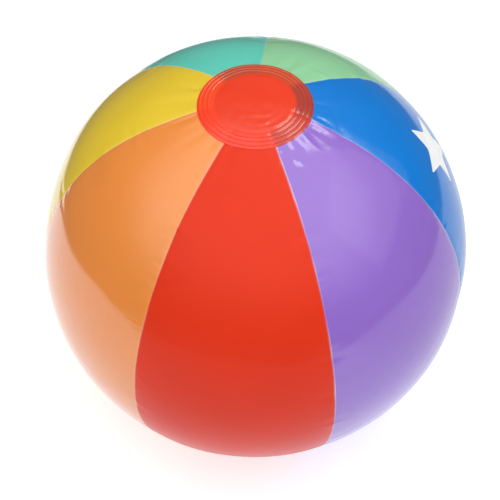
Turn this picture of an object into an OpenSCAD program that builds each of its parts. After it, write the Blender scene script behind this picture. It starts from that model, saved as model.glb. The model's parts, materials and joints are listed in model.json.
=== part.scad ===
// Inflatable beach ball: seven welded film gores, an end disc at each pole, and a push-in
// oral valve with a plug on a tether and a check flap. Millimetres, +Z up through the poles.
// The origin is the middle of the patch that the ball rests on. The red gore faces -Y.

/* [Ball] */
// Outside diameter of the inflated ball
ball_d = 300; // [240:5:400]
// Radius of the patch that goes flat under the ball's own weight
contact_r = 18; // [10:1:22]

/* [Film] */
// Thickness of the vinyl film
film_t = 0.25; // [0.2:0.05:0.4]
// Width of the gore margin that is turned in and welded to its neighbour
margin_w = 3; // [2:0.5:6]
// Gap between two layers of film that lie on each other
film_gap = 0.02; // [0.01:0.01:0.05]

/* [End discs] */
// Diameter of the disc welded over each pole
disc_d = 72; // [66:1:90]
// Diameter of the hole that the gores leave at each pole
pole_hole_d = 50; // [42:1:60]
// How far the top disc's crown lies below the round of the ball
crown_drop = 0.6; // [0.2:0.1:0.9]
// Number of raised weld rings on each disc
ring_count = 3; // [1:1:3]
// Distance from one weld ring to the next, as a share of the disc's lap over the gores
ring_pitch_share = 0.245; // [0.2:0.005:0.3]
// Radius of a weld ring's half-round section
ring_r = 0.45; // [0.2:0.05:0.6]
// Distance from the disc's edge to the outermost weld ring, as a share of the same lap
ring_inset_share = 0.145; // [0.1:0.005:0.2]

/* [Valve recess] */
// Latitude of the valve below the equator, in degrees
valve_latitude = 35; // [20:1:40]
// Diameter of the flange welded inside the film
flange_d = 32; // [30:1:40]
// Thickness of the flange
flange_t = 0.8; // [0.6:0.1:1.2]
// Wall of the soft skirt that lets the stem be pushed in
skirt_t = 0.5; // [0.3:0.1:0.8]
// Room between the stem's lip and the skirt, for the tether and a fingernail
pinch_gap = 2.4; // [2.2:0.1:4]
// Distance that the stem travels from pushed in to pulled out
push_travel = 14; // [10:1:15]

/* [Valve stem] */
// Outside diameter of the stem
stem_d = 9.6; // [9:0.1:12]
// Diameter of the stem's bore
bore_d = 5.8; // [4.8:0.1:7]
// How far the lip at the mouth stands out from the stem
lip_w = 0.5; // [0.3:0.1:0.8]
// Height of the lip
lip_h = 1.2; // [0.8:0.1:2]
// Depth of the mouth below the film's outer face, pushed in
mouth_depth = 1; // [0.5:0.1:2]
// Length of stem inside the ball, past the skirt's floor
tail_len = 2.5; // [2:0.5:6]

/* [Valve plug and tether] */
// Thickness of the plug's head
head_h = 1.6; // [1.2:0.1:2.4]
// Length of the plug's shaft
shaft_len = 7; // [5:0.5:9]
// Running clearance between the plug's shaft and the bore, on the radius
shaft_gap = 0.05; // [0.03:0.01:0.1]
// Width of the tether and of the plug's pull tab
strap_w = 2.6; // [2:0.1:4]
// Thickness of the tether and of the pull tab
strap_t = 0.8; // [0.6:0.1:1]

/* [Check flap] */
// Thickness of the flap
flap_t = 0.5; // [0.3:0.1:0.8]
// Radius of the rolled bead that the flap turns on
bead_r = 0.4; // [0.3:0.05:0.6]
// Clearance between valve pieces that move on each other
move_gap = 0.1; // [0.05:0.05:0.2]

/* [Hidden] */
$fn = 160;
// Cuts run this far past a face, so that no two faces coincide
over = 1;

gore_names = [
    "gore_red", "gore_purple", "gore_blue", "gore_green", "gore_teal", "gore_yellow", "gore_orange"
];
gore_colors = ["#e9432b", "#9b72d0", "#0f7dd9", "#8dd09a", "#55c5b0", "#e8c92a", "#fb9b58"];

gore_count = len(gore_names);
gore_angle = 360 / gore_count;
valve_gore = 4;

// Ball and discs
ball_r = ball_d / 2;
pole_hole_r = pole_hole_d / 2;
disc_r = disc_d / 2;
// How far a disc laps over the gores round their pole hole
disc_lap = disc_r - pole_hole_r;
disc_inner_r = ball_r + film_gap;
disc_outer_r = disc_inner_r + film_t;
centre_z = sqrt(pow(disc_outer_r, 2) - pow(contact_r, 2));
// The crown is an arc that leaves the round of the ball above the edge of the pole hole
crown_edge_z = sqrt(pow(disc_outer_r, 2) - pow(pole_hole_r, 2));
crown_rise = disc_outer_r - crown_drop - crown_edge_z;
crown_curve_r = (pow(pole_hole_r, 2) + pow(crown_rise, 2)) / (2 * crown_rise);
crown_centre_z = disc_outer_r - crown_drop - crown_curve_r;

// Valve, in a frame with +Z out along the stem and Z = 0 on the film's outer face
stem_r = stem_d / 2;
bore_r = bore_d / 2;
lip_r = stem_r + lip_w;
mouth_z = -mouth_depth;
skirt_inner_r = lip_r + pinch_gap;
skirt_outer_r = skirt_inner_r + skirt_t;
skirt_top_z = -film_t;
skirt_floor_z = mouth_z - push_travel;
tail_z = skirt_floor_z - skirt_t - tail_len;
flange_r = flange_d / 2;
flange_outer_r = ball_r - film_t - film_gap;
flange_hole_r = skirt_outer_r + move_gap;
film_hole_margin = 0.5;
film_hole_r = flange_hole_r + film_hole_margin;
collar_w = 0.8;
collar_r = stem_r + collar_w;
collar_h = 1;
// Height of the cuts across the film, half of it to each side
cut_h = ball_r / 2;

// Plug and tether
head_r = lip_r;
head_edge_r = 0.5;
head_z = mouth_z + move_gap;
shaft_r = bore_r - shaft_gap;
tip_len = 1.2;
tip_taper = 0.8;
tip_r = shaft_r - tip_taper;
tab_reach = 1.4;
strap_top_z = head_z + head_h / 2 + strap_t / 2;
strap_run_r = lip_r + pinch_gap / 2 - strap_t / 2;
strap_bend_inner_r = 0.2;
strap_bend_r = strap_t + strap_bend_inner_r;
strap_drop = 6;
strap_low_z = strap_top_z - strap_drop;

// Check flap, hinged on the side away from the tether
flap_overlap = 1.2;
flap_r = bore_r + flap_overlap;
flap_top_z = tail_z - move_gap;
hinge_x = -(stem_r - bead_r);
hinge_z = flap_top_z - bead_r;

module at_centre() {
    translate([0, 0, centre_z]) children();
}

module at_valve() {
    at_centre()
        rotate([0, 0, gore_angle * valve_gore - 90])
        rotate([0, 90 + valve_latitude, 0])
        translate([0, 0, ball_r])
        children();
}

// Half-ring in the right half-plane, outside the pole hole
module meridian_band(outer_r, inner_r) {
    difference() {
        intersection() {
            circle(outer_r);
            translate([pole_hole_r, -outer_r]) square(2 * outer_r);
        }
        circle(inner_r);
    }
}

// Turned-in margin beside the meridian plane at angle 0, from Y = near to a film's thickness on
module weld_margin(near) {
    translate([0, near + film_t, 0])
        rotate([90, 0, 0])
        linear_extrude(film_t)
        meridian_band(ball_r - film_t / 2, ball_r - film_t - margin_w);
}

// One gore, its middle toward +X
module gore_film() {
    rotate([0, 0, -gore_angle / 2])
        rotate_extrude(angle = gore_angle) meridian_band(ball_r, ball_r - film_t);
    rotate([0, 0, -gore_angle / 2]) weld_margin(film_gap / 2);
    rotate([0, 0, gore_angle / 2]) weld_margin(-film_t - film_gap / 2);
}

module gore(i) {
    color(gore_colors[i]) difference() {
        at_centre() rotate([0, 0, gore_angle * i - 90]) gore_film();
        if (i == valve_gore)
            at_valve() cylinder(r = film_hole_r, h = cut_h, center = true);
    }
}

// Area in the right half-plane, above the equator and out to the disc's edge
module disc_sector() {
    square([disc_r, disc_outer_r + over]);
}

module weld_rings() {
    for (k = [0 : ring_count - 1]) {
        r = disc_r - disc_lap * (ring_inset_share + k * ring_pitch_share);
        translate([r, sqrt(pow(disc_outer_r, 2) - r * r)]) circle(ring_r);
    }
}

// Section of a disc: the film between two rounds, cut to a crown that children() gives
module disc_section() {
    intersection() {
        disc_sector();
        difference() {
            union() {
                intersection() {
                    circle(disc_outer_r);
                    children(0);
                }
                weld_rings();
            }
            intersection() {
                circle(disc_inner_r);
                translate([0, -film_t]) children(0);
            }
        }
    }
}

module top_disc() {
    color("#ee482c") at_centre() rotate_extrude()
        disc_section() translate([0, crown_centre_z]) circle(crown_curve_r);
}

module bottom_disc() {
    color("#ee482c") at_centre() mirror([0, 0, 1]) rotate_extrude()
        disc_section() translate([0, centre_z - 2 * disc_outer_r]) square(2 * disc_outer_r);
}

module valve_flange() {
    color("#d9dde0") difference() {
        intersection() {
            at_centre() sphere(flange_outer_r);
            at_valve() cylinder(r = flange_r, h = cut_h, center = true);
        }
        at_centre() sphere(flange_outer_r - flange_t);
        at_valve() cylinder(r = flange_hole_r, h = cut_h + 2 * over, center = true);
    }
}

module valve_skirt() {
    color("#d9dde0") at_valve() rotate_extrude() difference() {
        translate([stem_r + move_gap, skirt_floor_z - skirt_t])
            square([skirt_outer_r - stem_r - move_gap, skirt_top_z - skirt_floor_z + skirt_t]);
        translate([0, skirt_floor_z]) square([skirt_inner_r, push_travel + over + mouth_depth]);
    }
}

module valve_stem() {
    color("#e4e7e9") at_valve() {
        difference() {
            union() {
                translate([0, 0, tail_z]) cylinder(r = stem_r, h = mouth_z - tail_z);
                translate([0, 0, mouth_z - lip_h]) cylinder(r = lip_r, h = lip_h);
                translate([0, 0, skirt_floor_z + move_gap]) cylinder(r = collar_r, h = collar_h);
                translate([0, -strap_w / 2, strap_low_z])
                    cube([strap_run_r - move_gap, strap_w, strap_t]);
            }
            translate([0, 0, tail_z - over]) cylinder(r = bore_r, h = mouth_z - tail_z + 2 * over);
        }
    }
}

module check_flap() {
    color("#f0f0ee") at_valve() {
        translate([0, 0, flap_top_z - flap_t]) cylinder(r = flap_r, h = flap_t);
        translate([hinge_x, -flap_r / 2, flap_top_z - flap_t]) cube([flap_r, flap_r, flap_t]);
        translate([hinge_x, flap_r / 2, hinge_z]) rotate([90, 0, 0]) cylinder(r = bead_r, h = flap_r);
    }
}

// Head with a quarter-round upper edge
module plug_head() {
    rotate_extrude() {
        square([head_r - head_edge_r, head_h]);
        square([head_r, head_h - head_edge_r]);
        intersection() {
            translate([head_r - head_edge_r, head_h - head_edge_r]) circle(head_edge_r);
            square([head_r, head_h]);
        }
    }
}

module valve_plug() {
    color("#e9432b") at_valve() translate([0, 0, head_z]) {
        plug_head();
        translate([0, 0, -shaft_len + tip_len]) cylinder(r = shaft_r, h = shaft_len - tip_len + head_h / 2);
        translate([0, 0, -shaft_len]) cylinder(r1 = tip_r, r2 = shaft_r, h = tip_len);
        translate([-head_r - tab_reach, -strap_w / 2, head_h / 2 - strap_t / 2])
            cube([head_r + tab_reach, strap_w, strap_t]);
    }
}

// Hairpin: out from the plug's head, down beside the stem and in to the stem's lug
module valve_tether() {
    bend_x = strap_run_r + strap_t - strap_bend_r;
    bend_z = strap_top_z - strap_bend_r;
    color("#e9432b") at_valve()
        translate([0, strap_w / 2, 0]) rotate([90, 0, 0]) linear_extrude(strap_w) {
            translate([head_r + move_gap, strap_top_z - strap_t])
                square([bend_x - head_r - move_gap, strap_t]);
            intersection() {
                difference() {
                    translate([bend_x, bend_z]) circle(strap_bend_r);
                    translate([bend_x, bend_z]) circle(strap_bend_inner_r);
                }
                translate([bend_x, bend_z]) square(strap_bend_r);
            }
            translate([strap_run_r, strap_low_z]) square([strap_t, bend_z - strap_low_z]);
        }
}

for (i = [0 : gore_count - 1])
    gore(i);
top_disc();
bottom_disc();
valve_flange();
valve_skirt();
valve_stem();
check_flap();
valve_plug();
valve_tether();
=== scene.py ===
import json
import math

import bmesh
import bpy
import numpy as np
from mathutils import Matrix, Vector

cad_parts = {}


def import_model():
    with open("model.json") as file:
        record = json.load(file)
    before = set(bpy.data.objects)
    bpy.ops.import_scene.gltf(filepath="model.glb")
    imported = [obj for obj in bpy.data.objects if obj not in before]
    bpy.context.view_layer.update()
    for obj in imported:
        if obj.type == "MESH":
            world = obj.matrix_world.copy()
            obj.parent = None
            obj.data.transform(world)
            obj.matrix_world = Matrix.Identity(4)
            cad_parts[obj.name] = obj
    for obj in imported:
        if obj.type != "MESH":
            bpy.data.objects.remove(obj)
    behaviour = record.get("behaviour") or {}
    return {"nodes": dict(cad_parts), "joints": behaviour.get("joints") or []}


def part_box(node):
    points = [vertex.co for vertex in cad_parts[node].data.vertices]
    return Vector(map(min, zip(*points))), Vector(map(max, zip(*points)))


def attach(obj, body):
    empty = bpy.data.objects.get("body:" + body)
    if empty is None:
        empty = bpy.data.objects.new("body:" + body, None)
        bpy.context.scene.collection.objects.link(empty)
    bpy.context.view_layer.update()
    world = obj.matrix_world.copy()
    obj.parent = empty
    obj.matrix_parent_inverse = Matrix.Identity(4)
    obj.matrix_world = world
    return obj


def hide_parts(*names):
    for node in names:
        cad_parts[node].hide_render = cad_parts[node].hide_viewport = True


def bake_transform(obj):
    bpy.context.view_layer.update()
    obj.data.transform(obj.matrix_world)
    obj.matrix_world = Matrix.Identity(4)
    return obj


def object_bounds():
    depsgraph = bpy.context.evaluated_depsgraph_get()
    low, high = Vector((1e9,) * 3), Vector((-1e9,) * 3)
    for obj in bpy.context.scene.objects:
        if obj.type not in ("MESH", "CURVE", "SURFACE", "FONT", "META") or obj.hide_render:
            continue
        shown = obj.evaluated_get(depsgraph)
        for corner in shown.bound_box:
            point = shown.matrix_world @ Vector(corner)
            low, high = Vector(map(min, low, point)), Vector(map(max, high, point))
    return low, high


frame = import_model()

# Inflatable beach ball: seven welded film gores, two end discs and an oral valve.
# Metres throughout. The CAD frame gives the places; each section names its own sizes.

CAD_LOW, CAD_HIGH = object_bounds()
MM = 0.001

# ---------------------------------------------------------------- places from the frame

GORE_NAMES = [
    "gore_red", "gore_purple", "gore_blue", "gore_green", "gore_teal", "gore_yellow", "gore_orange",
]
GORE_COUNT = len(GORE_NAMES)
GORE_ANGLE = 2 * math.pi / GORE_COUNT
BLUE_GORE = GORE_NAMES.index("gore_blue")
VALVE_GORE = GORE_NAMES.index("gore_teal")

gore_low, gore_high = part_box("gore_red")
BALL_R = round(CAD_HIGH.x, 4)
CENTRE_Z = (gore_low.z + gore_high.z) / 2
CENTRE = Vector((0, 0, CENTRE_Z))
POLE_HOLE_R = math.sqrt(BALL_R ** 2 - ((gore_high.z - gore_low.z) / 2) ** 2)
_, disc_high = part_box("top_disc")
DISC_R = disc_high.x
CROWN_TOP = disc_high.z - CENTRE_Z
bottom_low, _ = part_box("bottom_disc")
PATCH_TO_CENTRE = CENTRE_Z - bottom_low.z

JOINTS = {j["name"]: j for j in frame["joints"]}
VALVE_Z = Vector(JOINTS["valve_push"]["axis"]).normalized()
VALVE_X = (VALVE_Z * VALVE_Z.z - Vector((0, 0, 1))).normalized()
VALVE_Y = VALVE_Z.cross(VALVE_X)
VALVE_AT = CENTRE + VALVE_Z * BALL_R
PUSH_TRAVEL = JOINTS["valve_push"]["range_m"][1]

# ---------------------------------------------------------------- sizes

FILM_T = 0.25 * MM
FILM_GAP = 0.02 * MM
MARGIN_W = 3 * MM
DISC_FACE_R = BALL_R + FILM_GAP + FILM_T

# Radii of the weld rings on an end disc, and the ridges' height and half-width
DISC_LAP = DISC_R - POLE_HOLE_R
RING_RADII = [DISC_R - DISC_LAP * (0.145 + 0.245 * k) for k in range(3)]
RING_H = 0.38 * MM
RING_W = 0.45 * MM

# Valve, in its own frame: +Z out along the stem, 0 on the film's outer face
FILM_HOLE_R = 8.8 * MM
FLANGE_R = 16 * MM
SKIRT_TOP_R = 8.2 * MM
SKIRT_T = 0.5 * MM
STEM_R = 4.8 * MM
BORE_R = 2.9 * MM
LIP_R = 5.3 * MM
LIP_H = 1.2 * MM
MOUTH_Z = -1 * MM
SKIRT_FLOOR_Z = MOUTH_Z - PUSH_TRAVEL
TAIL_Z = SKIRT_FLOOR_Z - SKIRT_T - 2.5 * MM
COLLAR_R = 5.6 * MM
COLLAR_H = 1 * MM
HEAD_Z = -0.9 * MM
HEAD_H = 1.6 * MM
SHAFT_R = 2.85 * MM
SHAFT_LEN = 7 * MM
STRAP_W = 2.6 * MM
STRAP_T = 0.8 * MM
STRAP_RUN_R = 6.1 * MM
STRAP_DROP = 6 * MM
STRAP_TOP_Z = HEAD_Z + (HEAD_H + STRAP_T) / 2
TAB_END = -6.7 * MM

# ---------------------------------------------------------------- colours (linear)


def linear(hex_code):
    """A '#rrggbb' colour as linear red, green and blue."""
    values = [int(hex_code[k:k + 2], 16) / 255 for k in (1, 3, 5)]
    return np.array([v / 12.92 if v <= 0.04045 else ((v + 0.055) / 1.055) ** 2.4 for v in values])


GORE_COLOURS = [
    linear(c) for c in ("#dc361b", "#8f69c8", "#0878d2", "#90ce9f", "#60cab8", "#e6c532", "#e88b40")
]
# Roughness, unevenness, gloss and strength of the painted seam highlight (a pale line along the weld) of the
# gores that aren't like the rest
FINISHES = {"gore_red": (0.28, 0.5, 0.10), "gore_purple": (0.09, 1.0, 0.5, 0.8)}
# Light that an end disc's own film scatters, and the share of each colour that it lets through
DISC_SCATTER = np.array([0.34, 0.030, 0.008])
DISC_PASS = np.array([0.62, 0.050, 0.030])
INTERIOR = np.array([0.62, 0.20, 0.06])

# ---------------------------------------------------------------- relief of the blown film

# Groove at a seam's weld and the wide valley round it: depths and reaches to each side
WELD_DEPTH, WELD_REACH = 0.45 * MM, 2.2 * MM
VALLEY_DEPTH, VALLEY_REACH = 0.42 * MM, 15 * MM
# Share of groove and valley that is left beside an end disc
VALLEY_AT_DISC = 0.35
# Slow swell and fine ripple of the film. The bias keeps the swell inside the ball's round
SWELL_H, SWELL_BIAS = 0.34 * MM, 0.8
RIPPLE_H = 0.035 * MM
SEAM_PUCKERS = 62
DISC_WRINKLES = 84
# Distance from a disc over which its wrinkles double in width
WRINKLE_SPREAD = 22 * MM


def smooth(x, low, high):
    """0 below low, 1 above high and an S-curve between."""
    t = np.clip((x - low) / (high - low), 0, 1)
    return t * t * (3 - 2 * t)


def direction(lon, lat):
    """Unit vectors. Longitude 0 is the red gore's middle and grows counter-clockwise from above."""
    return np.stack([np.sin(lon) * np.cos(lat), -np.cos(lon) * np.cos(lat), np.sin(lat)], -1)


def wave_field(seed, count, shortest, longest):
    """Smooth noise over the sphere: plane waves with random directions, about -1 to 1."""
    rng = np.random.default_rng(seed)
    axes = rng.normal(size=(count, 3))
    axes /= np.linalg.norm(axes, axis=1)[:, None]
    lengths = rng.uniform(shortest, longest, count)
    phases = rng.uniform(0, 2 * math.pi, count)

    def field(d):
        """The noise at unit vectors d."""
        phase = (d * BALL_R) @ (axes.T * (2 * math.pi / lengths)) + phases
        return np.sin(phase).sum(-1) / math.sqrt(count)

    return field


swell = wave_field(seed=3, count=9, shortest=90 * MM, longest=170 * MM)
ripple = wave_field(seed=8, count=14, shortest=28 * MM, longest=55 * MM)


def seam_events(seam):
    """Puckers that cross one seam: place along it, height, half-width, reach to each side, slant."""
    rng = np.random.default_rng(100 + seam)
    half_length = BALL_R * math.acos(POLE_HOLE_R / BALL_R)
    return np.stack([
        rng.uniform(-half_length, half_length, SEAM_PUCKERS),
        rng.normal(0, 0.14 * MM, SEAM_PUCKERS),
        rng.uniform(1.5, 3.2, SEAM_PUCKERS) * MM,
        rng.uniform(4, 15, SEAM_PUCKERS) * MM,
        rng.normal(0, 0.35, SEAM_PUCKERS),
    ], 1)


# Three longer wrinkles by the top disc, in the same terms as disc_events
LONG_WRINKLES = np.array([
    (0.50, -0.34 * MM, 2.3 * MM, 30 * MM, 0.45),
    (0.93, 0.26 * MM, 1.5 * MM, 22 * MM, 0.05),
    (1.06, -0.24 * MM, 1.7 * MM, 26 * MM, -0.05),
])


def disc_events(pole):
    """Wrinkles that run out from an end disc: longitude, height, half-width, length, slant."""
    rng = np.random.default_rng(200 + pole)
    slots = np.arange(DISC_WRINKLES) + rng.uniform(-0.4, 0.4, DISC_WRINKLES)
    spread = np.stack([
        slots * 2 * math.pi / DISC_WRINKLES,
        rng.normal(-0.05 * MM, 0.26 * MM, DISC_WRINKLES),
        rng.uniform(1.0, 2.6, DISC_WRINKLES) * MM,
        rng.uniform(8, 32, DISC_WRINKLES) * MM,
        rng.normal(0, 0.10, DISC_WRINKLES),
    ], 1)
    return np.concatenate([spread, LONG_WRINKLES]) if pole == 0 else spread


SEAM_EVENTS = [seam_events(k) for k in range(GORE_COUNT)]
DISC_EVENTS = [disc_events(k) for k in range(2)]
DISC_EDGE_LAT = math.acos(DISC_R / BALL_R)


def seam_puckers(lat, to_seam, seam):
    """Height of the puckers beside one seam, where to_seam is the distance across to it."""
    along = BALL_R * lat
    total = np.zeros_like(lat)
    for at, height, width, reach, slant in SEAM_EVENTS[seam]:
        offset = along - at - slant * to_seam
        total += height * np.exp(-(offset / width) ** 2 - (to_seam / reach) ** 2)
    return total


def disc_wrinkles(lon, lat):
    """Height of the wrinkles that run out from both end discs, fading under the discs."""
    total = np.zeros_like(lat)
    for pole, sign in enumerate((1, -1)):
        out = BALL_R * (DISC_EDGE_LAT - sign * lat)
        near = smooth(out, -2 * MM, 3.5 * MM)
        across_r = BALL_R * np.cos(lat)
        for at, height, width, length, slant in DISC_EVENTS[pole]:
            turn = (lon - at - slant * out / DISC_R + math.pi) % (2 * math.pi) - math.pi
            spread = width * (1 + np.maximum(out, 0) / WRINKLE_SPREAD)
            reach = np.exp(-(np.maximum(out, 0) / length) ** 2)
            total += height * near * reach * np.exp(-(turn * across_r / spread) ** 2)
    return total


def relief(lon, lat):
    """How far the blown film stands out from the round of the ball, in metres."""
    turns = lon / GORE_ANGLE + 0.5
    seam_number = np.round(turns)
    to_seam = np.abs(turns - seam_number) * GORE_ANGLE * BALL_R * np.cos(lat)
    from_disc = BALL_R * (DISC_EDGE_LAT - np.abs(lat))
    open_film = smooth(from_disc, -4 * MM, 30 * MM)
    groove = WELD_DEPTH * np.exp(-to_seam / WELD_REACH)
    valley = groove + VALLEY_DEPTH * np.exp(-(to_seam / VALLEY_REACH) ** 2)
    height = -valley * (VALLEY_AT_DISC + (1 - VALLEY_AT_DISC) * open_film)
    round_ball = direction(lon, lat)
    calm = smooth(from_disc, -6 * MM, 12 * MM)
    slow = SWELL_H * (swell(round_ball) - SWELL_BIAS)
    height += calm * (slow + RIPPLE_H * ripple(round_ball))
    for seam in range(GORE_COUNT):
        mine = np.abs(seam_number % GORE_COUNT - seam) < 0.5
        if mine.any():
            height[mine] += calm[mine] * seam_puckers(lat[mine], to_seam[mine], seam)
    return height + disc_wrinkles(lon, lat)


def on_film(lon, lat, lift):
    """Points lifted off the film's outer face."""
    return direction(lon, lat) * (BALL_R + relief(lon, lat) + lift)[..., None] + np.array(CENTRE)


def lon_lat(d):
    """Longitude and latitude of unit vectors."""
    return np.arctan2(d[..., 0], -d[..., 1]), np.arcsin(np.clip(d[..., 2], -1, 1))


# ---------------------------------------------------------------- mesh helpers

SHARP_DEGREES = 35
CORNER_STEPS = 5
LATHE_AROUND = 96


def new_object(name, points, faces):
    """A smooth-shaded mesh object with outward normals, its sharp creases kept crisp."""
    mesh = bpy.data.meshes.new(name)
    mesh.from_pydata([tuple(p) for p in points], [], [tuple(int(i) for i in f) for f in faces])
    work = bmesh.new()
    work.from_mesh(mesh)
    bmesh.ops.recalc_face_normals(work, faces=work.faces)
    work.to_mesh(mesh)
    work.free()
    mesh.shade_smooth()
    mesh.set_sharp_from_angle(angle=math.radians(SHARP_DEGREES))
    mesh.update()
    obj = bpy.data.objects.new(name, mesh)
    bpy.context.scene.collection.objects.link(obj)
    return obj


def point_values(obj, name, values):
    """A float attribute on the mesh's points, which its material reads."""
    attribute = obj.data.attributes.new(name, "FLOAT", "POINT")
    attribute.data.foreach_set("value", np.asarray(values, np.float32).ravel())


def point_colours(obj, name, colours):
    """A colour attribute on the mesh's points, which its material reads."""
    attribute = obj.data.attributes.new(name, "FLOAT_COLOR", "POINT")
    rgba = np.concatenate([colours, np.ones((len(colours), 1))], 1)
    attribute.data.foreach_set("color", rgba.astype(np.float32).ravel())


def grid_faces(rows, columns, closed):
    """Quads of a grid whose points are numbered row by row."""
    quads = []
    for j in range(rows - 1):
        for k in range(columns if closed else columns - 1):
            nxt = (k + 1) % columns
            a, b = j * columns + k, j * columns + nxt
            quads.append((a, b, b + columns, a + columns))
    return quads


def valve_point(x, y, z):
    """A point of the valve's own frame in the ball's frame."""
    return VALVE_AT + VALVE_X * x + VALVE_Y * y + VALVE_Z * z


def rounded(corners, radii):
    """A closed outline of (r, z) corners, each rounded by its own radius."""
    outline = []
    count = len(corners)
    for k in range(count):
        here = Vector(corners[k])
        to_last = (Vector(corners[k - 1]) - here).normalized()
        to_next = (Vector(corners[(k + 1) % count]) - here).normalized()
        if radii[k] <= 0:
            outline.append(here)
            continue
        half = to_last.angle(to_next) / 2
        cut = radii[k] / math.tan(half)
        first, last = here + to_last * cut, here + to_next * cut
        middle = here + (to_last + to_next).normalized() * (radii[k] / math.sin(half))
        a, b = first - middle, last - middle
        for s in range(CORNER_STEPS + 1):
            share = s / CORNER_STEPS
            blend = (a * (1 - share) + b * share).normalized() * radii[k]
            outline.append(middle + blend)
    return outline


def valve_lathe(name, outline):
    """A closed ring about the valve's axis from a closed (r, z) outline."""
    points = []
    for k in range(LATHE_AROUND):
        angle = 2 * math.pi * k / LATHE_AROUND
        for r, z in outline:
            points.append(valve_point(r * math.cos(angle), r * math.sin(angle), z))
    count = len(outline)
    faces = []
    for k in range(LATHE_AROUND):
        nxt = (k + 1) % LATHE_AROUND
        for m in range(count):
            up = (m + 1) % count
            faces.append((k * count + m, nxt * count + m, nxt * count + up, k * count + up))
    return new_object(name, points, faces)


def join(name, parts):
    """One object from several."""
    bpy.ops.object.select_all(action="DESELECT")
    for part in parts:
        part.select_set(True)
    bpy.context.view_layer.objects.active = parts[0]
    bpy.ops.object.join()
    parts[0].name = name
    return parts[0]


# ---------------------------------------------------------------- gores

ROWS = 301
# Distances of the grid's columns from the seam at the equator, in millimetres
COLUMN_STEPS = [0, 0.4, 0.9, 1.5, 2.3, 3.3, 4.6, 6.2, 8.2, 10.6, 13.4, 16.6]
HALF_GORE = GORE_ANGLE / 2 * BALL_R / MM
MIDDLE_COLUMNS = 13
VALVE_BLOCK = 19 * MM
VALVE_RINGS = 18
# Round the valve: height of the film over the flange, of the bead at its hole and depth of the weld
FLANGE_BAND_H = 0.16 * MM
HOLE_BEAD_H = 0.14 * MM
FLANGE_WELD_H = 0.15 * MM
# How far beyond the flange the film is as free as elsewhere
VALVE_CALM = 14 * MM


def gore_columns():
    """Places of the columns across a gore, -1 to 1, closer together near the seams."""
    left = [-1 + s / HALF_GORE for s in COLUMN_STEPS]
    inner = np.linspace(left[-1], -left[-1], MIDDLE_COLUMNS + 2)[1:-1]
    return np.array(left + list(inner) + [-a for a in reversed(left)])


def valve_rim(lon, lat):
    """Height of the film over the flange, and how freely it is blown up: 0 by the valve, 1 away from it."""
    d = direction(lon, lat)
    across = d - np.array(VALVE_Z) * (d @ np.array(VALVE_Z))[..., None]
    r = np.linalg.norm(across, axis=-1) * BALL_R
    facing = (d @ np.array(VALVE_Z)) > 0
    band = smooth(r, FLANGE_R + 0.7 * MM, FLANGE_R - 0.3 * MM) * facing
    bead = np.exp(-((r - FILM_HOLE_R - 1.2 * MM) / (0.55 * MM)) ** 2) * facing
    weld = np.exp(-((r - FLANGE_R + 1.6 * MM) / (0.5 * MM)) ** 2) * facing
    free = 1 - smooth(r, FLANGE_R + VALVE_CALM, FLANGE_R + 0.5 * MM) * facing
    return FLANGE_BAND_H * band + HOLE_BEAD_H * bead - FLANGE_WELD_H * weld, free


def film_point(lon, lat, depth, gore):
    """A point at that depth under a gore's outer face."""
    height = relief(lon, lat)
    if gore == VALVE_GORE:
        rim, free = valve_rim(lon, lat)
        height = height * free + rim
    return direction(lon, lat) * (BALL_R + height - depth)[..., None] + np.array(CENTRE)


def gore_mesh(gore):
    """A closed thin sheet with a margin turned in along both seams, and the valve's hole if any."""
    across = gore_columns()
    columns = len(across)
    # Column of the inner face that lies under column 0, counting round a row's ring of points
    inner_column = 2 * columns + 3
    lat_end = math.acos(POLE_HOLE_R / BALL_R)
    lat = np.repeat(np.linspace(-lat_end, lat_end, ROWS)[:, None], columns, 1)
    middle = gore * GORE_ANGLE
    parallel_r = BALL_R * np.cos(lat)
    to_plane = FILM_GAP / 2 / parallel_r
    half = GORE_ANGLE / 2 - to_plane
    lon = middle + across[None, :] * half
    outer = film_point(lon, lat, 0 * lat, gore)
    inner_half = half - FILM_T / parallel_r
    inner_lon = middle + np.clip(across[None, :] * half, -inner_half, inner_half)
    inner = film_point(inner_lon, lat, 0 * lat + FILM_T, gore)

    def fin(side, offset, depth):
        """A line of weld-margin points along one edge, at an offset inwards and a depth."""
        edge_lon = middle + side * (half[:, 0] - offset / parallel_r[:, 0])
        return film_point(edge_lon, lat[:, 0], 0 * lat[:, 0] + depth, gore)

    deep = FILM_T + MARGIN_W
    right = [fin(1, 0, deep / 2), fin(1, 0, deep), fin(1, FILM_T, deep), fin(1, FILM_T, deep / 2)]
    left = [fin(-1, FILM_T, deep / 2), fin(-1, FILM_T, deep), fin(-1, 0, deep), fin(-1, 0, deep / 2)]
    ring = np.concatenate([
        outer, np.stack(right, 1), inner[:, ::-1], np.stack(left, 1),
    ], 1)
    width = ring.shape[1]
    points = list(ring.reshape(-1, 3))
    faces = grid_faces(ROWS, width, closed=True)

    # Caps at the two pole holes: quads between the outer face, the inner face and the fins
    last = (ROWS - 1) * width
    for base in (0, last):
        for k in range(-2, columns + 1):
            cap = (k, k + 1, inner_column - k - 1, inner_column - k)
            faces.append(tuple(base + i % width for i in cap))

    seam_gap = (1 - np.abs(across))[None, :] * GORE_ANGLE / 2 * parallel_r
    zeros = np.zeros((ROWS, 4))
    to_seam = np.concatenate([seam_gap, zeros, seam_gap[:, ::-1], zeros], 1).ravel()
    along = np.repeat(BALL_R * lat[:, :1], width, 1).ravel()

    if gore == VALVE_GORE:
        faces, extra = cut_valve_hole(points, faces, across, lat[:, 0], inner_column, width)
        # The hole's own points lie far from both seams, at the valve's place along the gore
        to_seam = np.concatenate([to_seam, np.full(extra, 30 * MM)])
        along = np.concatenate([along, np.full(extra, -80 * MM)])
    obj = new_object(GORE_NAMES[gore] + "_film", points, faces)
    point_values(obj, "to_seam", to_seam / MM)
    point_values(obj, "along", along / MM)
    return obj


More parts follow.
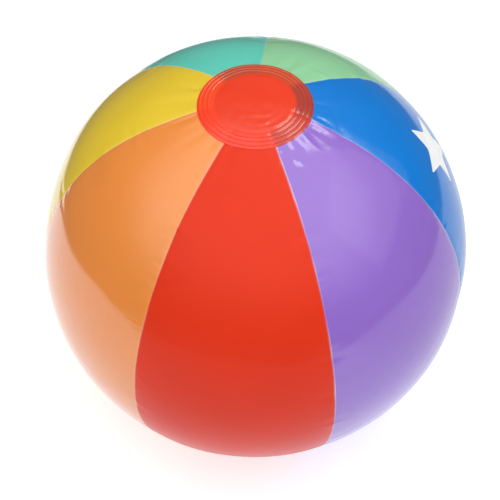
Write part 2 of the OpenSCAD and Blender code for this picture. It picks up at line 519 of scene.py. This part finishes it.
def cut_valve_hole(points, faces, across, lats, inner_column, width):
    """Takes cells out of both faces of the film and fits rings of points round the valve's hole."""
    _, valve_lat = lon_lat(np.array(VALVE_Z))
    reach = VALVE_BLOCK / BALL_R
    rows = np.flatnonzero(np.abs(lats - valve_lat) < reach)
    cols = np.flatnonzero(np.abs(across) * GORE_ANGLE / 2 * math.cos(valve_lat) < reach)
    j0, j1, k0, k1 = rows[0], rows[-1], cols[0], cols[-1]
    border = (
        [(j0, k) for k in range(k0, k1)] + [(j, k1) for j in range(j0, j1)]
        + [(j1, k) for k in range(k1, k0, -1)] + [(j, k0) for j in range(j1, j0, -1)]
    )

    def inside(face, mirror):
        """True for a face within the block, on the outer side or, mirrored, the inner side."""
        spots = [divmod(i, width) for i in face]
        cs = [inner_column - c if mirror else c for _, c in spots]
        return all(j0 <= r <= j1 and k0 <= c <= k1 for (r, _), c in zip(spots, cs))

    faces = [f for f in faces if not inside(f, False) and not inside(f, True)]
    added = 0
    rim = []
    z_axis, x_axis, y_axis = (np.array(v) for v in (VALVE_Z, VALVE_X, VALVE_Y))
    for mirror, depth in ((False, 0.0), (True, FILM_T)):
        ids = [j * width + (inner_column - k if mirror else k) for j, k in border]
        base = np.array([points[i] for i in ids]) - np.array(CENTRE)
        base /= np.linalg.norm(base, axis=1)[:, None]
        flat = np.stack([base @ x_axis, base @ y_axis], 1) * BALL_R
        radius = np.linalg.norm(flat, axis=1)[:, None]
        circle = flat / radius * FILM_HOLE_R
        previous = ids
        for ring in range(1, VALVE_RINGS + 1):
            share = ring / VALVE_RINGS
            spot = (flat * (1 - share) + circle * share) / BALL_R
            out = np.sqrt(1 - (spot ** 2).sum(1))[:, None]
            d = spot[:, :1] * x_axis + spot[:, 1:] * y_axis + out * z_axis
            ring_lon, ring_lat = lon_lat(d)
            new = film_point(ring_lon, ring_lat, 0 * ring_lat + depth, VALVE_GORE)
            start = len(points)
            points.extend(new)
            current = list(range(start, start + len(border)))
            added += len(border)
            for m in range(len(border)):
                n = (m + 1) % len(border)
                faces.append((previous[m], previous[n], current[n], current[m]))
            previous = current
        rim.append(previous)
    for m in range(len(border)):
        n = (m + 1) % len(border)
        faces.append((rim[0][m], rim[0][n], rim[1][n], rim[1][m]))
    return faces, added


# ---------------------------------------------------------------- end discs

DISC_AROUND = GORE_COUNT * 48
# Painted highlight along the weld rings' ridges: the colour that lightens them, and its share
RIDGE_HIGHLIGHT_COLOUR = np.array([0.95, 0.16, 0.08])
RIDGE_HIGHLIGHT_SHARE = 0.10
# Half the width over which a seam under a disc is blurred, and the samples across it
SEAM_BLUR = 2.2 * MM
SEAM_SAMPLES = 9
# Depth of the groove where the crown leaves the gores' tips, and the height of the crown's fine folds
SEAT_DEPTH = 0.10 * MM
FOLD_H = 0.085 * MM


def disc_radii():
    """Radii of a disc's rings of points, close together where the weld rings stand."""
    plain = list(np.arange(1.2, 24.4, 1.16) * MM)
    fine = list(np.arange(24.6 * MM, DISC_R - 0.1 * MM, 0.24 * MM))
    return np.array(plain + fine + [DISC_R - 0.05 * MM, DISC_R])


centre_folds = wave_field(seed=21, count=16, shortest=7 * MM, longest=22 * MM)
# Creases in the crown, round the pole: radius, height, half-width, middle longitude, half-angle, wander
CREASES = [
    (22.4 * MM, 0.14 * MM, 0.8 * MM, 0.62, 0.8, 0.7 * MM),
    (20.2 * MM, -0.13 * MM, 0.9 * MM, 0.48, 0.6, 1.0 * MM),
    (18.0 * MM, 0.17 * MM, 1.1 * MM, 0.55, 0.7, 1.2 * MM),
    (15.2 * MM, -0.13 * MM, 1.2 * MM, 0.30, 0.8, 1.3 * MM),
    (12.4 * MM, 0.13 * MM, 1.3 * MM, 0.62, 0.8, 1.4 * MM),
    (21.5 * MM, 0.09 * MM, 1.0 * MM, 2.9, 0.8, 0.9 * MM),
]


def creases(r, turn):
    """Height of the crown's creases."""
    total = np.zeros_like(r)
    for k, (at, height, width, middle, spread, wander) in enumerate(CREASES):
        away = (turn - middle + math.pi) % (2 * math.pi) - math.pi
        path = at + wander * np.sin(3.1 * away + 1.7 * k)
        total += height * np.exp(-((r - path) / width) ** 2 - (away / spread) ** 4)
    return total


def disc_mesh(name, pole):
    """A closed thin disc. The top one is crowned over the pole hole, the bottom one flat where it stands."""
    sign = 1 if pole == 0 else -1
    radii = disc_radii()
    lon = np.arange(DISC_AROUND) * 2 * math.pi / DISC_AROUND
    r, turn = np.meshgrid(radii, lon, indexing="ij")
    lat = sign * np.arccos(r / DISC_FACE_R)
    film_lat = sign * np.arccos(np.clip(r / BALL_R, 0, 1))
    film = smooth(r, POLE_HOLE_R - 5 * MM, POLE_HOLE_R + 2 * MM)
    ball_z = np.sqrt(DISC_FACE_R ** 2 - r ** 2)
    ridges = sum(np.exp(-((r - k) / RING_W) ** 2) for k in RING_RADII) * RING_H
    folds = centre_folds(direction(turn, lat))
    if pole == 0:
        edge_z = math.sqrt(DISC_FACE_R ** 2 - POLE_HOLE_R ** 2)
        rise = CROWN_TOP - edge_z
        crown_r = (POLE_HOLE_R ** 2 + rise ** 2) / (2 * rise)
        crown_z = CROWN_TOP - crown_r + np.sqrt(crown_r ** 2 - r ** 2)
        out = np.where(r < POLE_HOLE_R, crown_z, ball_z)
        loose = smooth(r, POLE_HOLE_R, POLE_HOLE_R - 8 * MM)
        out = out + loose * FOLD_H * folds + creases(r, turn)
    else:
        out = np.minimum(ball_z, PATCH_TO_CENTRE)
    seat = np.exp(-((r - POLE_HOLE_R) / (0.7 * MM)) ** 2) * SEAT_DEPTH
    blown = relief(turn.ravel(), film_lat.ravel()).reshape(r.shape)
    out = out + film * blown + ridges - seat * (pole == 0)
    top = np.stack([r * np.sin(turn), -r * np.cos(turn), sign * out + CENTRE_Z], -1)
    under = top.copy()
    under[..., 2] = sign * (out - ridges - FILM_T) + CENTRE_Z
    rings = np.concatenate([top, under[::-1]], 0)
    points = list(rings.reshape(-1, 3))
    faces = grid_faces(len(rings), DISC_AROUND, closed=True)
    for first, z_out in ((0, out[0].mean()), (len(rings) - 1, out[0].mean() - FILM_T)):
        middle = len(points)
        points.append(np.array([0, 0, sign * z_out + CENTRE_Z]))
        for k in range(DISC_AROUND):
            nxt = (k + 1) % DISC_AROUND
            faces.append((first * DISC_AROUND + k, first * DISC_AROUND + nxt, middle))
    obj = new_object(name, points, faces)
    beneath = np.zeros(r.shape + (3,))
    for step in np.linspace(-SEAM_BLUR, SEAM_BLUR, SEAM_SAMPLES):
        gore_at = np.round((turn + step / r) / GORE_ANGLE).astype(int) % GORE_COUNT
        beneath += np.array(GORE_COLOURS)[gore_at] / SEAM_SAMPLES
    over_gore = smooth(r, POLE_HOLE_R - 0.8 * MM, POLE_HOLE_R + 1.4 * MM)[..., None]
    seen = beneath * over_gore + INTERIOR * (1 - over_gore)
    colours = DISC_SCATTER + DISC_PASS * seen
    # Painted highlight: the colour is lightened along the weld rings' ridges
    ridge_highlight = (RIDGE_HIGHLIGHT_SHARE * ridges / RING_H)[..., None]
    colours = colours * (1 - ridge_highlight) + RIDGE_HIGHLIGHT_COLOUR * ridge_highlight
    both = np.concatenate([colours, colours[::-1]], 0).reshape(-1, 3)
    middle_colour = DISC_SCATTER + DISC_PASS * INTERIOR
    point_colours(obj, "film_colour", np.concatenate([both, [middle_colour] * 2], 0))
    return obj


# ---------------------------------------------------------------- printed star

STAR_LAT = math.radians(37)
STAR_R = 27 * MM
STAR_INNER_R = 12.5 * MM
STAR_RINGS = 14
STAR_POINTS = 5
STAR_EDGE_STEPS = 20
STAR_AROUND = 2 * STAR_POINTS * STAR_EDGE_STEPS
PRINT_T = 0.05 * MM


def star_outline():
    """Points round a five-pointed star whose tips and notches are slightly rounded."""
    tips = []
    for k in range(2 * STAR_POINTS):
        angle = math.pi / 2 + k * math.pi / STAR_POINTS
        reach = STAR_R if k % 2 == 0 else STAR_INNER_R
        tips.append((reach * math.cos(angle), reach * math.sin(angle)))
    corners = np.array(tips)
    share = np.linspace(0, 1, STAR_EDGE_STEPS, endpoint=False)[:, None]
    edge = np.concatenate([a + (b - a) * share for a, b in zip(corners, np.roll(corners, -1, 0))])
    for _ in range(5):
        edge = (np.roll(edge, 1, 0) + 2 * edge + np.roll(edge, -1, 0)) / 4
    return edge


def star_mesh():
    """A plain rounded star of white ink on the blue gore, a thin skin that follows the film."""
    middle = BLUE_GORE * GORE_ANGLE
    z_axis = direction(np.array(middle), np.array(STAR_LAT))
    y_axis = direction(np.array(middle), np.array(STAR_LAT + math.pi / 2))
    x_axis = np.cross(y_axis, z_axis)
    edge = star_outline()
    faces_up = []
    for lift in (PRINT_T, -PRINT_T):
        rings = []
        for ring in range(1, STAR_RINGS + 1):
            spot = edge * ring / STAR_RINGS / BALL_R
            out = np.sqrt(1 - (spot ** 2).sum(1))[:, None]
            d = spot[:, :1] * x_axis + spot[:, 1:] * y_axis + out * z_axis
            lon, lat = lon_lat(d)
            rings.append(on_film(lon, lat, 0 * lat + lift))
        faces_up.append(rings)
    rings = faces_up[0] + faces_up[1][::-1]
    points = list(np.concatenate(rings, 0))
    faces = grid_faces(len(rings), STAR_AROUND, closed=True)
    lon, lat = lon_lat(z_axis[None])
    for first, lift in ((0, PRINT_T), (len(rings) - 1, -PRINT_T)):
        centre = len(points)
        points.append(on_film(lon, lat, 0 * lat + lift)[0])
        for k in range(STAR_AROUND):
            nxt = (k + 1) % STAR_AROUND
            faces.append((first * STAR_AROUND + k, first * STAR_AROUND + nxt, centre))
    return new_object("print_star", points, faces)


# ---------------------------------------------------------------- valve


def skirt_mesh():
    """The soft cup round the stem, with its points close together."""
    top, floor = -FILM_T, SKIRT_FLOOR_Z
    outline = rounded(
        [
            (SKIRT_TOP_R, top), (SKIRT_TOP_R, floor - SKIRT_T), (STEM_R + 0.1 * MM, floor - SKIRT_T),
            (STEM_R + 0.1 * MM, floor), (SKIRT_TOP_R - SKIRT_T, floor), (SKIRT_TOP_R - SKIRT_T, top),
        ],
        [0.15 * MM, 1.6 * MM, 0.1 * MM, 0.1 * MM, 1.1 * MM, 0.15 * MM],
    )
    dense = []
    for k, here in enumerate(outline):
        after = outline[(k + 1) % len(outline)]
        pieces = max(1, int((after - here).length / (0.7 * MM)))
        dense += [here.lerp(after, s / pieces) for s in range(pieces)]
    return valve_lathe("valve_skirt_soft", dense)


def stem_mesh():
    """The stem with its rolled lip, collar and tether lug."""
    outline = rounded(
        [
            (BORE_R, TAIL_Z), (STEM_R, TAIL_Z), (STEM_R, SKIRT_FLOOR_Z + 0.1 * MM),
            (COLLAR_R, SKIRT_FLOOR_Z + 0.1 * MM), (COLLAR_R, SKIRT_FLOOR_Z + 0.1 * MM + COLLAR_H),
            (STEM_R, SKIRT_FLOOR_Z + 0.1 * MM + COLLAR_H), (STEM_R, MOUTH_Z - LIP_H),
            (LIP_R, MOUTH_Z - LIP_H), (LIP_R, MOUTH_Z), (BORE_R, MOUTH_Z),
        ],
        [0.3 * MM, 0.3 * MM, 0, 0.3 * MM, 0.3 * MM, 0.25 * MM, 0.2 * MM, 0.25 * MM, 0.45 * MM, 0.35 * MM],
    )
    tube = valve_lathe("valve_stem_tube", outline)
    low = STRAP_TOP_Z - STRAP_DROP
    lug = bar_mesh(
        "valve_stem_lug",
        [(STEM_R - 0.3 * MM, low + STRAP_T / 2), (STRAP_RUN_R - 0.1 * MM, low + STRAP_T / 2)],
        STRAP_W, STRAP_T,
    )
    return join("valve_stem_moulded", [tube, lug])


def bar_mesh(name, path, width, thick, corner=0.22 * MM):
    """A strap of rounded-rectangle section along an (x, z) path in the valve's own frame."""
    w, t = width / 2 - corner, thick / 2 - corner
    section = []
    for cx, cy, start in ((w, t, 0), (-w, t, 90), (-w, -t, 180), (w, -t, 270)):
        for s in range(5):
            a = math.radians(start + s * 90 / 4)
            section.append((cx + corner * math.cos(a), cy + corner * math.sin(a)))
    points = []
    for k, (x, z) in enumerate(path):
        before, after = Vector(path[max(k - 1, 0)]), Vector(path[min(k + 1, len(path) - 1)])
        tangent = (after - before).normalized()
        normal = Vector((-tangent.y, tangent.x))
        for y, n in section:
            points.append(valve_point(x + normal.x * n, y, z + normal.y * n))
    count = len(section)
    faces = grid_faces(len(path), count, closed=True)
    faces.append(tuple(range(count)))
    faces.append(tuple(reversed(range(len(points) - count, len(points)))))
    return new_object(name, points, faces)


def plug_mesh():
    """The plug: dished head, tapered shaft and a ribbed pull tab."""
    top = HEAD_Z + HEAD_H
    shaft_end = HEAD_Z - SHAFT_LEN
    outline = rounded(
        [
            (0.02 * MM, top - 0.25 * MM), (2.6 * MM, top - 0.25 * MM), (3.4 * MM, top), (LIP_R, top),
            (LIP_R, HEAD_Z), (SHAFT_R, HEAD_Z), (SHAFT_R, shaft_end + 1.2 * MM),
            (SHAFT_R - 0.8 * MM, shaft_end), (0.02 * MM, shaft_end),
        ],
        [0, 0.5 * MM, 0.5 * MM, 0.5 * MM, 0.2 * MM, 0.15 * MM, 0.3 * MM, 0.3 * MM, 0],
    )
    head = valve_lathe("valve_plug_head", outline)
    z = HEAD_Z + HEAD_H / 2
    tab_start = -LIP_R + 0.6 * MM
    tab_path = [(tab_start + k * (TAB_END - tab_start) / 12, z) for k in range(13)]
    tab = bar_mesh("valve_plug_tab", tab_path, STRAP_W, STRAP_T)
    ribs = []
    for k in range(2):
        x = -LIP_R - (0.45 + 0.55 * k) * MM
        rib = bar_mesh(
            f"valve_plug_rib_{k}", [(x - 0.12 * MM, z + STRAP_T / 2), (x + 0.12 * MM, z + STRAP_T / 2)],
            STRAP_W * 0.8, 0.22 * MM, corner=0.09 * MM,
        )
        ribs.append(rib)
    return join("valve_plug_moulded", [head, tab] + ribs)


def tether_mesh():
    """The strap that folds down from the plug's head to the stem's lug."""
    middle_top = STRAP_TOP_Z - STRAP_T / 2
    bend_r = STRAP_T / 2 + 0.2 * MM
    bend_x = STRAP_RUN_R + STRAP_T / 2 - bend_r
    path = [(LIP_R + 0.1 * MM, middle_top)]
    for s in range(9):
        a = math.radians(90 - s * 90 / 8)
        path.append((bend_x + bend_r * math.cos(a), middle_top - bend_r + bend_r * math.sin(a)))
    low = STRAP_TOP_Z - STRAP_DROP
    for s in range(1, 13):
        share = s / 12
        path.append((STRAP_RUN_R + STRAP_T / 2, (middle_top - bend_r) * (1 - share) + low * share))
    return bar_mesh("valve_tether_strap", path, STRAP_W, STRAP_T)


# ---------------------------------------------------------------- materials


class Nodes:
    """Shorthand for building one material's nodes."""

    def __init__(self, name):
        """Makes the material, which starts with a Principled shader."""
        self.material = bpy.data.materials.new(name)
        self.material.use_nodes = True
        self.tree = self.material.node_tree
        self.shader = self.tree.nodes["Principled BSDF"]

    def add(self, kind, settings=(), **inputs):
        """A node with its settings and inputs. An input is a value or another node's output."""
        node = self.tree.nodes.new("ShaderNode" + kind)
        for key, value in dict(settings).items():
            setattr(node, key, value)
        for key, value in inputs.items():
            self.feed(node, key.replace("_", " "), value)
        return node

    def feed(self, node, socket, value):
        """Sets or links one input, named or numbered."""
        numbered = socket[:1] == "i" and socket[1:].isdigit()
        target = node.inputs[int(socket[1:]) if numbered else socket]
        if isinstance(value, bpy.types.NodeSocket):
            self.tree.links.new(value, target)
        else:
            target.default_value = value

    def maths(self, operation, a, b=0.0):
        """One Math node's output."""
        return self.add("Math", {"operation": operation}, i0=a, i1=b).outputs[0]

    def dot(self, a, b):
        """The dot product of two vectors."""
        return self.add("VectorMath", {"operation": "DOT_PRODUCT"}, i0=a, i1=b).outputs["Value"]

    def mix(self, share, a, b):
        """A colour mix's output."""
        node = self.add("Mix", {"data_type": "RGBA"})
        self.feed(node, "i0", share)
        self.feed(node, "i6", a)
        self.feed(node, "i7", b)
        return node.outputs[2]

    def noise(self, scale, detail=2.0, vector=None):
        """Noise over object space, or over another vector."""
        place = vector or self.add("TexCoord").outputs["Object"]
        return self.add("TexNoise", Vector=place, Scale=scale, Detail=detail).outputs["Fac"]

    def attribute(self, name):
        """A mesh attribute's node."""
        return self.add("Attribute", {"attribute_name": name})

    def ramp(self, value, low, high, from_value, to_value):
        """value mapped from low..high to from_value..to_value, clamped."""
        node = self.add("MapRange", {"clamp": True})
        for k, v in enumerate((value, low, high, from_value, to_value)):
            self.feed(node, f"i{k}", v)
        return node.outputs[0]

    def bump(self, height, strength, distance):
        """Adds a bump to the shader's normal."""
        node = self.add("Bump", Height=height)
        node.inputs["Strength"].default_value = strength
        node.inputs["Distance"].default_value = distance
        self.tree.links.new(node.outputs["Normal"], self.shader.inputs["Normal"])


def rgba(colour, scale=1.0):
    """A colour as four numbers."""
    return (*[float(min(1, c * scale)) for c in colour], 1.0)


def vinyl(name, colour, roughness=0.09, clean=1.0, gloss=0.5, seam_highlight=0.36):
    """Glossy PVC film: faint mottling, a painted highlight as a pale line along the seams' welds, fine
    gathers across them.
    """
    n = Nodes(name)
    mottle = n.ramp(n.noise(14, 3), 0.3, 0.7, 0.0, 1.0)
    body = n.mix(mottle, rgba(colour, 0.955), rgba(colour, 1.03))
    to_seam = n.attribute("to_seam").outputs["Fac"]
    uneven = n.ramp(n.noise(30, 2), 0.35, 0.65, 0.22 * seam_highlight, seam_highlight)
    # Painted highlight: the colour is mixed towards a pale tint in a thin line along each seam's weld
    weld = n.maths("MULTIPLY", n.ramp(to_seam, 0.25, 0.95, 1.0, 0.0), uneven)
    seam_highlight_colour = tuple(0.55 * c + 0.45 for c in colour)
    n.feed(n.shader, "Base Color", n.mix(weld, body, rgba(seam_highlight_colour)))
    smear = n.ramp(n.noise(38, 4), 0.35, 0.75, roughness, roughness + 0.07 * clean)
    n.feed(n.shader, "Roughness", smear)
    along = n.attribute("along").outputs["Fac"]
    spot = n.add(
        "CombineXYZ", X=n.maths("MULTIPLY", along, 0.42), Y=n.maths("MULTIPLY", to_seam, 0.07),
    )
    gathers = n.noise(1.0, 2, spot.outputs[0])
    gathers = n.maths("MULTIPLY", gathers, n.ramp(to_seam, 0.3, 11.0, 1.0, 0.0))
    peel = n.maths("MULTIPLY", n.noise(420, 2), 0.05)
    n.bump(n.maths("ADD", gathers, peel), 0.5 * clean + 0.1, 0.0004)
    n.shader.inputs["IOR"].default_value = 1.52
    n.shader.inputs["Specular IOR Level"].default_value = gloss
    n.shader.inputs["Coat Weight"].default_value = 0.5 * gloss
    n.shader.inputs["Coat Roughness"].default_value = 0.04
    return n.material


def disc_vinyl():
    """The end discs' translucent red film, coloured by what lies beneath it."""
    n = Nodes("vinyl_disc")
    seen = n.attribute("film_colour").outputs["Color"]
    mottle = n.ramp(n.noise(60, 3), 0.3, 0.7, 0.0, 0.10)
    n.feed(n.shader, "Base Color", n.mix(mottle, seen, rgba((0.98, 0.09, 0.05))))
    n.feed(n.shader, "Roughness", n.ramp(n.noise(70, 3), 0.3, 0.7, 0.07, 0.16))
    n.bump(n.noise(330, 3), 0.25, 0.0003)
    n.shader.inputs["IOR"].default_value = 1.47
    n.shader.inputs["Coat Weight"].default_value = 0.15
    n.shader.inputs["Coat Roughness"].default_value = 0.04
    return n.material


def ink():
    """White printing ink: satin, with faint unevenness."""
    n = Nodes("print_ink")
    ink_low, ink_high = rgba((0.86, 0.88, 0.90)), rgba((0.95, 0.96, 0.97))
    n.feed(n.shader, "Base Color", n.mix(n.noise(90, 3), ink_low, ink_high))
    n.feed(n.shader, "Roughness", n.ramp(n.noise(260, 2), 0.3, 0.7, 0.16, 0.28))
    n.bump(n.noise(500, 2), 0.2, 0.0002)
    return n.material


def moulded(name, colour, roughness, through):
    """Soft moulded vinyl with a fine sparked grain and slight cloudiness."""
    n = Nodes(name)
    cloud = n.ramp(n.noise(260, 3), 0.3, 0.7, 0.0, 1.0)
    n.feed(n.shader, "Base Color", n.mix(cloud, rgba(colour, 0.93), rgba(colour, 1.04)))
    n.feed(n.shader, "Roughness", n.ramp(n.noise(900, 2), 0.3, 0.7, roughness, roughness + 0.12))
    n.bump(n.noise(2600, 2), 0.3, 0.00006)
    n.shader.inputs["Subsurface Weight"].default_value = through
    n.shader.inputs["Subsurface Radius"].default_value = (0.0012, 0.0010, 0.0009)
    n.shader.inputs["Subsurface Scale"].default_value = 1.0
    return n.material


def paint(obj, material):
    """Gives every face of an object one material."""
    obj.data.materials.clear()
    obj.data.materials.append(material)
    return obj


# ---------------------------------------------------------------- stage

FLOOR_SIZE = 60.0
# Radiance of the studio dome behind and at the horizon, and overhead and in front
DOME_LOW = 0.10
DOME_HIGH = 1.75
# Where the dome's strength grows with height, and with the turn towards the front
DOME_RISE = (0.10, 0.75)
FRONT_AXIS = (0.10, -0.59, 0.8)
FRONT_RISE = (0.1, 0.7)
FRONT_LEAST = 0.12
# The sheet that reflections see: its axes, and its middle and half-lengths along them
SHEET_AXES = ((0.8, 0.6, 0.0), (-0.6, 0.8, 0.0))
SHEET_CENTRE = (-0.40, -0.415)
SHEET_HALF = (1.20, 0.885)
SHEET_SQUARENESS = 8.0
SHEET_EDGE = (0.80, 1.25)
PAPER = (0.80, 0.81, 0.83, 1)
BEYOND_PAPER = (0.10, 0.10, 0.11, 1)
# Glow of the paper in the camera's view, and in reflections on the left and right
GLOW_SEEN = 0.42
GLOW_LEFT, GLOW_RIGHT = 0.65, 0.08
# Share by which reflections of the paper's right side are dimmed
RIGHT_DIMMING = 0.30


def floor():
    """A plain white floor that also glows, more on the left, though not for diffuse light. In reflections it
    is a sheet round the ball, with grey beyond.
    """
    bpy.ops.mesh.primitive_plane_add(size=FLOOR_SIZE)
    plane = bpy.context.object
    plane.name = "floor"
    n = Nodes("floor_paper")
    place = n.add("TexCoord").outputs["Object"]
    terms = []
    for axis, middle, half in zip(SHEET_AXES, SHEET_CENTRE, SHEET_HALF):
        along = n.dot(place, axis)
        ratio = n.maths("ABSOLUTE", n.maths("DIVIDE", n.maths("SUBTRACT", along, middle), half))
        terms.append(n.maths("POWER", ratio, SHEET_SQUARENESS))
    beyond = n.maths("ADD", terms[0], terms[1])
    path = n.add("LightPath").outputs
    unseen = n.maths("SUBTRACT", 1.0, path["Is Camera Ray"])
    across = n.dot(place, SHEET_AXES[0])
    right = n.ramp(across, 0.04, 0.28, 0.0, RIGHT_DIMMING)
    dimmed = n.maths("MULTIPLY", right, path["Is Glossy Ray"])
    grey = n.maths("MULTIPLY", n.ramp(beyond, *SHEET_EDGE, 0.0, 1.0), unseen)
    share = n.maths("MAXIMUM", dimmed, grey)
    n.feed(n.shader, "Base Color", n.mix(share, PAPER, BEYOND_PAPER))
    n.shader.inputs["Roughness"].default_value = 0.85
    n.shader.inputs["Specular IOR Level"].default_value = 0.1
    tint = n.mix(unseen, (0.97, 0.98, 1.0, 1), (0.86, 0.93, 1.10, 1))
    n.feed(n.shader, "Emission Color", tint)
    # Painted light: the floor glows, brighter on the left than the right, and the glow is seen in the
    # camera's view and in reflections
    not_diffuse = n.maths("SUBTRACT", 1.0, path["Is Diffuse Ray"])
    lit = n.maths("MULTIPLY", n.maths("SUBTRACT", 1.0, share), not_diffuse)
    reflected = n.ramp(across, -0.6, 0.6, GLOW_LEFT, GLOW_RIGHT)
    glow = n.maths("MAXIMUM", reflected, n.maths("MULTIPLY", path["Is Camera Ray"], GLOW_SEEN))
    n.feed(n.shader, "Emission Strength", n.maths("MULTIPLY", lit, glow))
    paint(plane, n.material)


def area_light(name, place, aim, size, power, colour=(1, 1, 1)):
    """A soft rectangular light that faces a point."""
    data = bpy.data.lights.new(name, "AREA")
    data.shape = "RECTANGLE"
    data.size, data.size_y = size
    data.energy = power
    data.color = colour
    lamp = bpy.data.objects.new(name, data)
    bpy.context.scene.collection.objects.link(lamp)
    lamp.location = place
    lamp.rotation_mode = "QUATERNION"
    lamp.rotation_quaternion = (Vector(aim) - Vector(place)).to_track_quat("-Z", "Y")
    return lamp


def world():
    """Soft light, strong overhead and in front, dim at the horizon and behind; a pale backdrop."""
    made = bpy.data.worlds.new("studio")
    bpy.context.scene.world = made
    made.use_nodes = True
    tree = made.node_tree
    tree.nodes.clear()
    place = tree.nodes.new("ShaderNodeTexCoord")
    split = tree.nodes.new("ShaderNodeSeparateXYZ")
    tree.links.new(place.outputs["Generated"], split.inputs[0])
    ramp = tree.nodes.new("ShaderNodeMapRange")
    ramp.interpolation_type = "SMOOTHSTEP"
    tree.links.new(split.outputs["Z"], ramp.inputs[0])
    for k, v in enumerate((*DOME_RISE, 0.0, DOME_HIGH - DOME_LOW), start=1):
        ramp.inputs[k].default_value = v
    side = tree.nodes.new("ShaderNodeVectorMath")
    side.operation = "DOT_PRODUCT"
    tree.links.new(place.outputs["Generated"], side.inputs[0])
    side.inputs[1].default_value = FRONT_AXIS
    front = tree.nodes.new("ShaderNodeMapRange")
    front.interpolation_type = "SMOOTHSTEP"
    tree.links.new(side.outputs["Value"], front.inputs[0])
    for k, v in enumerate((*FRONT_RISE, FRONT_LEAST, 1.0), start=1):
        front.inputs[k].default_value = v
    both = tree.nodes.new("ShaderNodeMath")
    both.operation = "MULTIPLY_ADD"
    tree.links.new(ramp.outputs[0], both.inputs[0])
    tree.links.new(front.outputs[0], both.inputs[1])
    both.inputs[2].default_value = DOME_LOW
    dome = tree.nodes.new("ShaderNodeBackground")
    dome.inputs["Color"].default_value = (1.0, 0.99, 0.97, 1)
    tree.links.new(both.outputs[0], dome.inputs["Strength"])
    backdrop = tree.nodes.new("ShaderNodeBackground")
    backdrop.inputs["Color"].default_value = (1, 1, 1, 1)
    ray = tree.nodes.new("ShaderNodeLightPath")
    mix = tree.nodes.new("ShaderNodeMixShader")
    tree.links.new(ray.outputs["Is Camera Ray"], mix.inputs[0])
    tree.links.new(dome.outputs[0], mix.inputs[1])
    tree.links.new(backdrop.outputs[0], mix.inputs[2])
    out = tree.nodes.new("ShaderNodeOutputWorld")
    tree.links.new(mix.outputs[0], out.inputs[0])


def lights():
    """A softbox high behind to the right and a broad window at the right side."""
    softbox_at = CENTRE + Vector((0.46, 0.59, 1.30))
    window_at = CENTRE + Vector((1.63, 0.20, 1.15))
    area_light("softbox", softbox_at, CENTRE, (0.50, 0.46), 3.2, (0.94, 1, 0.84))
    area_light("window", window_at, CENTRE, (1.8, 1.4), 3.2)


# ---------------------------------------------------------------- camera

CAM_AZIMUTH = math.radians(6.1)
CAM_ELEVATION = math.radians(53.7)
CAM_ROLL = math.radians(-0.3)
CAM_DISTANCE = 5.2 * BALL_R
CAM_LENS = 77.7
# How far the aim lies from the ball's centre, to the camera's right and up
AIM_RIGHT = -3.65 * MM
AIM_UP = -2.46 * MM


def camera():
    """The camera, above the front and turned a little to the ball's right."""
    horizontal = math.cos(CAM_ELEVATION)
    back = Vector((
        math.sin(CAM_AZIMUTH) * horizontal, -math.cos(CAM_AZIMUTH) * horizontal, math.sin(CAM_ELEVATION),
    ))
    level = Vector((math.cos(CAM_AZIMUTH), math.sin(CAM_AZIMUTH), 0))
    rise = back.cross(level)
    right = level * math.cos(CAM_ROLL) + rise * math.sin(CAM_ROLL)
    up = rise * math.cos(CAM_ROLL) - level * math.sin(CAM_ROLL)
    data = bpy.data.cameras.new("camera")
    data.lens = CAM_LENS
    data.sensor_width = 36
    data.clip_start, data.clip_end = 0.05, 50
    cam = bpy.data.objects.new("camera", data)
    bpy.context.scene.collection.objects.link(cam)
    turn = Matrix((right, up, back)).transposed().to_4x4()
    place = CENTRE + right * AIM_RIGHT + up * AIM_UP + back * CAM_DISTANCE
    cam.matrix_world = Matrix.Translation(place) @ turn
    bpy.context.scene.camera = cam


# ---------------------------------------------------------------- the ball


def film_pieces():
    """The gores and the end discs, all on the ball's body."""
    for k, node in enumerate(GORE_NAMES):
        piece = gore_mesh(k)
        paint(piece, vinyl("vinyl_" + node[5:], GORE_COLOURS[k], *FINISHES.get(node, ())))
        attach(piece, "ball")
        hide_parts(node)
    film = disc_vinyl()
    for pole, node in enumerate(("top_disc", "bottom_disc")):
        piece = paint(disc_mesh(node + "_film", pole), film)
        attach(piece, "ball")
        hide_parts(node)
    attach(paint(star_mesh(), ink()), "ball")


def valve_pieces():
    """The valve: stem, skirt, plug and tether as moulded pieces, flange and flap as the CAD has them."""
    clear = moulded("valve_milky_vinyl", linear("#dfe3e6"), 0.28, 0.25)
    red = moulded("valve_red_vinyl", linear("#e9432b"), 0.30, 0.10)
    stem = paint(stem_mesh(), clear)
    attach(stem, "stem")
    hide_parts("valve_stem")
    plug = paint(plug_mesh(), red)
    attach(plug, "plug")
    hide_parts("valve_plug")
    skirt = paint(skirt_mesh(), clear)
    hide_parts("valve_skirt")
    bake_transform(skirt)
    tether = paint(tether_mesh(), red)
    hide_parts("valve_tether")
    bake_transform(tether)
    for node in ("valve_flange", "check_flap"):
        paint_cad(frame["nodes"][node], clear)


def paint_cad(obj, material):
    """Gives a carried-over CAD node a material in its own slots."""
    if not obj.material_slots:
        obj.data.materials.append(material)
    for held in obj.material_slots:
        held.material = material


camera()
floor()
world()
lights()
film_pieces()
valve_pieces()

bpy.context.scene.view_settings.view_transform = "Standard"
bpy.context.scene.view_settings.look = "None"
